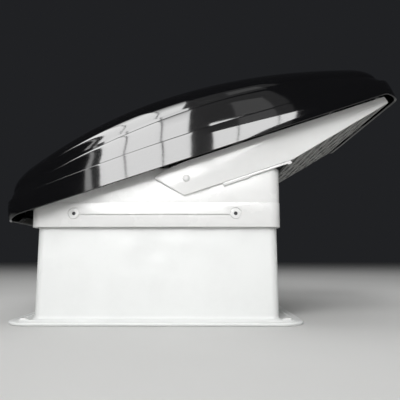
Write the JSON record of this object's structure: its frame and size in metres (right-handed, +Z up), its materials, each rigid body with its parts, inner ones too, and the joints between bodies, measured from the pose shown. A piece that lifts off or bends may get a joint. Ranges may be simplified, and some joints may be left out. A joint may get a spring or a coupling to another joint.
{
  "type": "roof vent fan",
  "caption": "Powered roof vent fan with a tilting black rain lid, a louvred rain shield, an insect screen and a tall flanged roof adapter.",
  "frame": {"origin": "centre of the mounting flange's underside, where it rests on the roof", "axes": "+Z up out of the roof, +X towards the open front of the lid, the lid's hinge at -X"},
  "size_m": [0.5792, 0.424, 0.3853],
  "materials": {
    "adapter_white": "satin",
    "housing_white": "gloss",
    "lid_black": "high gloss",
    "shield_white": "gloss",
    "louver_grey": "satin",
    "inner_white": "satin",
    "fan_grey": "satin",
    "gear_nylon": "satin",
    "zinc_steel": "brushed",
    "dark_metal": "satin",
    "motor_steel": "brushed",
    "white_cap": "gloss",
    "gasket_rubber": "matte",
    "screen_aluminium": "satin",
    "board_green": "satin",
    "button_grey": "matte"
  },
  "bodies": {
    "base": {"roof_adapter": "adapter_white", "flange_screws": "white_cap", "adapter_gasket": "gasket_rubber", "upper_housing": "housing_white", "housing_side_screws": "zinc_steel", "throat_ring": "inner_white", "strut_screws": "zinc_steel", "base_duct": "inner_white", "deck_screws": "zinc_steel", "motor_strut": "dark_metal", "motor_can": "motor_steel", "motor_cap": "dark_metal", "motor_screws": "zinc_steel", "hinge_brackets": "housing_white", "hinge_bracket_screws": "zinc_steel", "hinge_pins": "zinc_steel", "shield_rivets": "white_cap", "lift_bracket_left": "dark_metal", "lift_bracket_right": "dark_metal", "lift_bushes": "gear_nylon", "lift_gearbox": "dark_metal", "lift_motor": "motor_steel", "screen_frame": "inner_white", "screen_mesh": "screen_aluminium", "control_housing": "inner_white", "control_cover": "inner_white", "circuit_board": "board_green", "fuse_holder": "button_grey"},
    "fan": {"motor_shaft": "zinc_steel", "fan_blades": "fan_grey", "hub_clip": "zinc_steel"},
    "lid": {"lid_shell": "lid_black", "lid_hinge_leaves": "lid_black", "lid_hinge_screws": "zinc_steel", "lift_tracks": "dark_metal", "lid_front_bracket": "lid_black", "lid_front_screws": "zinc_steel", "lid_slide_brackets": "lid_black"},
    "shield": {"shield_side_left": "shield_white", "shield_side_right": "shield_white", "louver_panel": "louver_grey", "shield_rails": "shield_white", "shield_tip_pins": "zinc_steel"},
    "lift": {"lift_shaft": "zinc_steel", "lift_arm_left": "zinc_steel", "lift_arm_right": "zinc_steel", "sector_gear": "gear_nylon"},
    "pinion": {"lift_pinion": "gear_nylon"},
    "roller_l": {"roller_left": "gear_nylon"},
    "roller_r": {"roller_right": "gear_nylon"},
    "knob_1": {"screen_knob_1": "white_cap"},
    "knob_2": {"screen_knob_2": "white_cap"},
    "knob_3": {"screen_knob_3": "white_cap"},
    "knob_4": {"screen_knob_4": "white_cap"},
    "power_key": {"power_button": "button_grey"},
    "airflow_key": {"airflow_button": "button_grey"},
    "speed_key": {"speed_button": "button_grey"},
    "lid_key": {"lid_button": "button_grey"}
  },
  "joints": [
    {"name": "lid_hinge", "type": "hinge", "parent": "base", "child": "lid", "pos_m": [-0.193, 0, 0.158], "axis": [0, -1, 0], "range_deg": [-18.25, 0]},
    {"name": "shield_pivot", "type": "hinge", "parent": "base", "child": "shield", "pos_m": [0.0432, 0, 0.2102], "axis": [0, -1, 0], "range_deg": [-31.6, 0.05]},
    {"name": "lift_shaft_turn", "type": "hinge", "parent": "base", "child": "lift", "pos_m": [-0.07, 0, 0.2], "axis": [0, -1, 0], "range_deg": [-32.2, 0.05]},
    {"name": "pinion_turn", "type": "hinge", "parent": "base", "child": "pinion", "pos_m": [-0.12023, 0, 0.21346], "axis": [0, -1, 0], "range_deg": [-0.2, 107.4]},
    {"name": "fan_spin", "type": "hinge", "parent": "base", "child": "fan", "pos_m": [0, 0, 0.158], "axis": [0, 0, 1], "continuous": true},
    {"name": "roller_l_spin", "type": "hinge", "parent": "lift", "child": "roller_l", "pos_m": [0.05436, -0.07, 0.33013], "axis": [0, -1, 0], "continuous": true},
    {"name": "roller_r_spin", "type": "hinge", "parent": "lift", "child": "roller_r", "pos_m": [0.05436, 0.07, 0.33013], "axis": [0, -1, 0], "continuous": true},
    {"name": "knob_1_turn", "type": "hinge", "parent": "base", "child": "knob_1", "pos_m": [-0.15, -0.152, 0.096], "axis": [0, 0, 1], "range_deg": [0, 90]},
    {"name": "knob_2_turn", "type": "hinge", "parent": "base", "child": "knob_2", "pos_m": [0.12, -0.152, 0.096], "axis": [0, 0, 1], "range_deg": [0, 90]},
    {"name": "knob_3_turn", "type": "hinge", "parent": "base", "child": "knob_3", "pos_m": [0.12, 0.152, 0.096], "axis": [0, 0, 1], "range_deg": [0, 90]},
    {"name": "knob_4_turn", "type": "hinge", "parent": "base", "child": "knob_4", "pos_m": [-0.15, 0.152, 0.096], "axis": [0, 0, 1], "range_deg": [0, 90]},
    {"name": "power_press", "type": "slide", "parent": "base", "child": "power_key", "axis": [0, 0, 1], "range_m": [0, 0.0012], "stiffness_N_per_m": 600, "springref_m": -0.001},
    {"name": "airflow_press", "type": "slide", "parent": "base", "child": "airflow_key", "axis": [0, 0, 1], "range_m": [0, 0.0012], "stiffness_N_per_m": 600, "springref_m": -0.001},
    {"name": "speed_press", "type": "slide", "parent": "base", "child": "speed_key", "axis": [0, 0, 1], "range_m": [0, 0.0012], "stiffness_N_per_m": 600, "springref_m": -0.001},
    {"name": "lid_press", "type": "slide", "parent": "base", "child": "lid_key", "axis": [0, 0, 1], "range_m": [0, 0.0012], "stiffness_N_per_m": 600, "springref_m": -0.001}
  ],
  "couplings": [
    {"joint": "shield_pivot", "follows": "lid_hinge", "ratio": 1.7292},
    {"joint": "lift_shaft_turn", "follows": "lid_hinge", "ratio": 1.7615},
    {"joint": "pinion_turn", "follows": "lid_hinge", "ratio": -5.8717}
  ]
}
